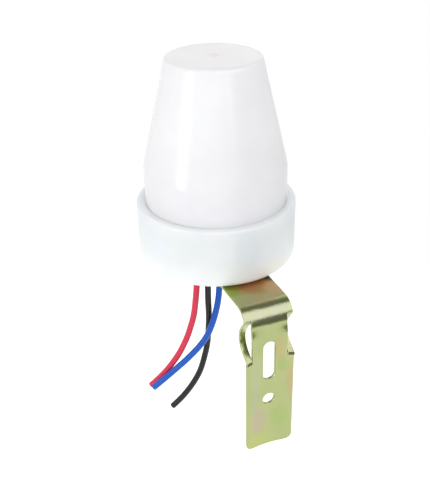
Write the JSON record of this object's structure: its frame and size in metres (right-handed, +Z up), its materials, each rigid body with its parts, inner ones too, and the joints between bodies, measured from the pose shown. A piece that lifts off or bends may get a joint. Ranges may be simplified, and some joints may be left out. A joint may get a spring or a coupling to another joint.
{
  "type": "photocell switch",
  "caption": "Dusk sensor switch: milky conical cap on a round cup, three insulated leads out of its floor, and a folded steel bracket with a slotted leg.",
  "frame": {"origin": "centre of the round fixing hole, on the outer face of the bracket's leg", "axes": "+Z up along the body's axis towards the cap's top, -Y out of the leg's outer face, +X along the leg's width"},
  "size_m": [0.064, 0.0845, 0.179],
  "materials": {
    "cup_plastic": "moulded, satin gloss, slightly translucent",
    "milky_cap": "moulded, glossy, milky",
    "board": "bare laminate",
    "zinc_plated": "bright zinc plated",
    "relay_plastic": "moulded",
    "tinned_wire": "tinned",
    "sensor_ceramic": "coated ceramic",
    "capacitor_film": "moulded box",
    "can_sleeve": "shrunk sleeve",
    "black_epoxy": "moulded epoxy",
    "zener_glass": "glass body",
    "resistor_blue": "lacquered",
    "resistor_tan": "lacquered",
    "solder": "bright solder",
    "zinc_passivated": "yellow passivated zinc",
    "wire_red": "extruded PVC",
    "wire_black": "extruded PVC",
    "wire_blue": "extruded PVC"
  },
  "bodies": {
    "root": {"base_cup": "cup_plastic", "cap": "milky_cap", "circuit_board": "board", "board_screws": "zinc_plated", "relay_case": "relay_plastic", "relay_pins": "tinned_wire", "photoresistor": "sensor_ceramic", "film_capacitor": "capacitor_film", "electrolytic_capacitor": "can_sleeve", "rectifier_diodes": "black_epoxy", "flyback_diode": "black_epoxy", "zener_diode": "zener_glass", "series_resistor": "resistor_blue", "small_resistors": "resistor_tan", "transistor": "black_epoxy", "component_leads": "tinned_wire", "solder_joints": "solder", "bracket": "zinc_passivated", "bracket_screw": "zinc_plated", "flat_washer": "zinc_plated", "lock_washer": "zinc_plated", "bracket_nut": "zinc_plated", "lead_red": "wire_red", "lead_black": "wire_black", "lead_blue": "wire_blue"}
  },
  "joints": []
}
